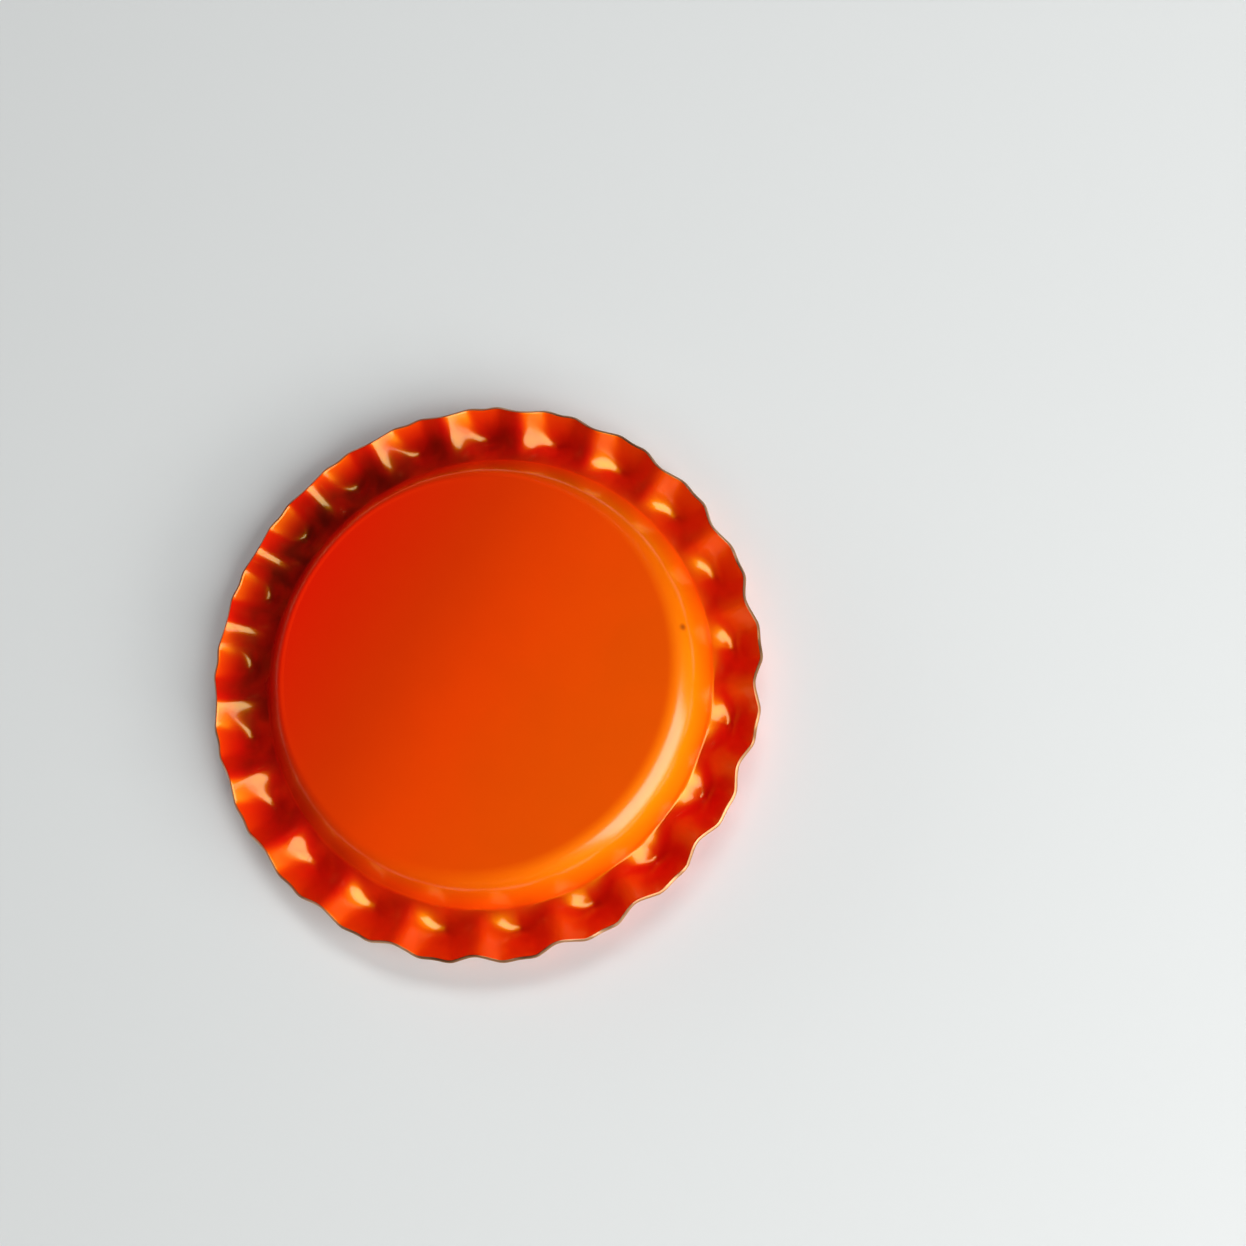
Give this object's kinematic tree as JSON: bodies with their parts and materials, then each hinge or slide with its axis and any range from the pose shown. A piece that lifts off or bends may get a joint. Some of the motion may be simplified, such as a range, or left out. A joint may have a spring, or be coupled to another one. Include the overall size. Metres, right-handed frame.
{
  "type": "flattened crown bottle cap",
  "caption": "Flattened metal crown cap: a flat round panel on a sloping wall, with a fluted skirt opened out round it, in glossy orange enamel.",
  "frame": {"origin": "on the surface that the cap rests on, under the centre of its panel", "axes": "+Z out of the panel's outer face; +X along the crest of one of the skirt's ridges"},
  "size_m": [0.0353, 0.0354, 0.0036],
  "materials": {
    "enamelled_tinplate": "gloss"
  },
  "bodies": {
    "root": {"cap_shell": "enamelled_tinplate"}
  },
  "joints": []
}
